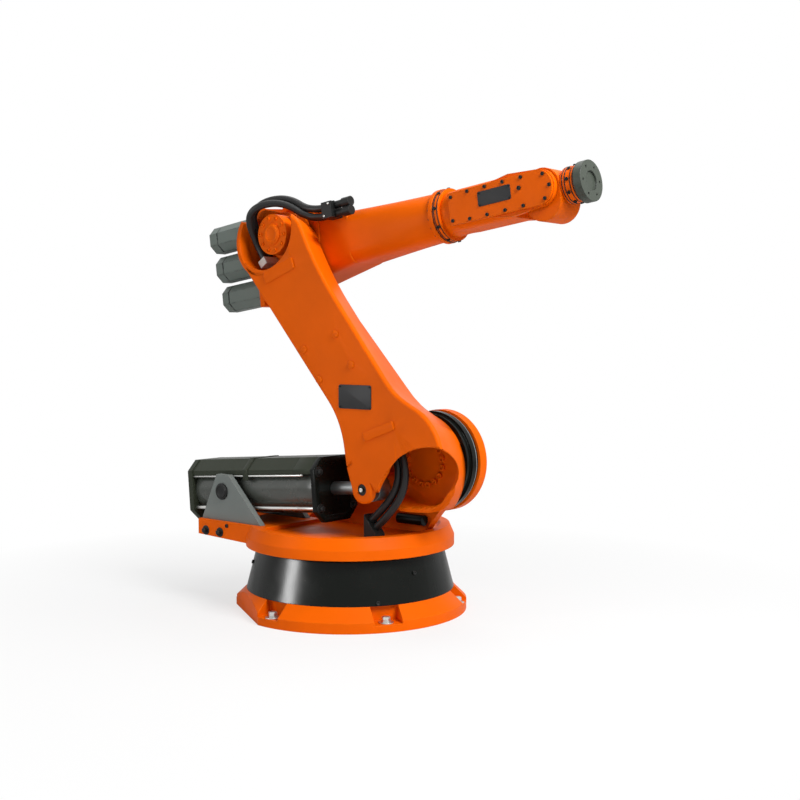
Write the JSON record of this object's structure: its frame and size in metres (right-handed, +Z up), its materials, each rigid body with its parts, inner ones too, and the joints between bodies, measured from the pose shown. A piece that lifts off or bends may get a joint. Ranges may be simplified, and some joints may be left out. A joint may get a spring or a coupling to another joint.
{
  "type": "industrial robot arm",
  "caption": "Heavy floor-standing industrial robot arm with a turning carousel, leaning link arm, counterbalance, forearm with rear wrist motors and a tool flange.",
  "frame": {"origin": "where the carousel's turning axis meets the floor, at the centre of the floor bolts", "axes": "+X forward, the way the tool flange points, +Y to the robot's left, +Z up"},
  "size_m": [2.2224, 1.096, 1.9744],
  "materials": {
    "orange_paint": "gloss",
    "black_paint": "gloss",
    "grey_paint": "satin",
    "motor_black": "satin",
    "bare_steel": "machined",
    "dark_steel": "blackened",
    "hose_rubber": "matte",
    "white_plastic": "matte"
  },
  "bodies": {
    "base": {"base_flange": "orange_paint", "base_cone": "black_paint", "slew_bearing": "dark_steel"},
    "carousel": {"carousel_casting": "orange_paint", "shoulder_gear": "black_paint", "shoulder_motor": "motor_black", "slew_motor": "motor_black", "right_trunnion_bracket": "grey_paint", "left_trunnion_bracket": "grey_paint", "deck_hose_clamp": "dark_steel", "ear_connector": "motor_black", "lower_hoses": "hose_rubber"},
    "counterbalance": {"counterbalance_barrel": "black_paint", "barrel_rear_plate": "black_paint", "barrel_front_head": "black_paint", "barrel_tie_rods": "bare_steel", "barrel_hood": "black_paint"},
    "counterbalance_rod": {"counterbalance_rod": "bare_steel"},
    "link": {"link_arm": "orange_paint", "elbow_boss": "orange_paint", "elbow_bearing": "dark_steel", "link_pin_ends": "dark_steel", "link_hose_clamp": "dark_steel", "head_hose_socket": "white_plastic", "upper_hoses": "hose_rubber"},
    "forearm": {"arm_casting": "orange_paint", "arm_rear_plate": "orange_paint", "upper_wrist_motor": "motor_black", "middle_wrist_motor": "motor_black", "lower_wrist_motor": "motor_black", "elbow_motor": "motor_black", "arm_front_ring": "orange_paint", "arm_hose_clamp": "dark_steel", "arm_hose_stubs": "dark_steel"},
    "wrist": {"wrist_ring": "orange_paint", "wrist_housing": "orange_paint", "right_wrist_cover": "orange_paint", "left_wrist_cover": "orange_paint"},
    "hand": {"hand_housing": "orange_paint", "hand_ring": "orange_paint"},
    "flange": {"tool_flange": "dark_steel"}
  },
  "joints": [
    {"name": "slew", "type": "hinge", "parent": "base", "child": "carousel", "pos_m": [0, 0, 0.3], "axis": [0, 0, 1], "range_deg": [-185, 185]},
    {"name": "shoulder", "type": "hinge", "parent": "carousel", "child": "link", "pos_m": [0.48, 0, 0.72], "axis": [0, 1, 0], "range_deg": [-21.1, 124.9], "deforming": ["lower_hoses"]},
    {"name": "elbow", "type": "hinge", "parent": "link", "child": "forearm", "pos_m": [-0.23518, 0, 1.74519], "axis": [0, -1, 0], "range_deg": [-26.6, 217.4], "deforming": ["upper_hoses"]},
    {"name": "wrist_roll", "type": "hinge", "parent": "forearm", "child": "wrist", "pos_m": [0.56019, 0, 1.79443], "axis": [0.9914, 0, 0.1305], "range_deg": [-350, 350]},
    {"name": "wrist_bend", "type": "hinge", "parent": "wrist", "child": "hand", "pos_m": [1.11045, 0, 1.86687], "axis": [0, 1, 0], "range_deg": [-120, 120]},
    {"name": "tool_roll", "type": "hinge", "parent": "hand", "child": "flange", "pos_m": [1.29486, 0, 1.89115], "axis": [0.9914, 0, 0.1305], "range_deg": [-350, 350]},
    {"name": "counterbalance_tilt", "type": "hinge", "parent": "carousel", "child": "counterbalance", "pos_m": [-0.49, -0.2, 0.54], "axis": [0, -1, 0], "range_deg": [-4, 19]},
    {"name": "rod_slide", "type": "slide", "parent": "counterbalance", "child": "counterbalance_rod", "axis": [0.9966, 0, 0.0823], "range_m": [-0.03, 0.16]}
  ],
  "couplings": [
    {"joint": "counterbalance_tilt", "follows": "shoulder", "ratio": 0.145},
    {"joint": "rod_slide", "follows": "shoulder", "m_per_rad": 0.07}
  ]
}
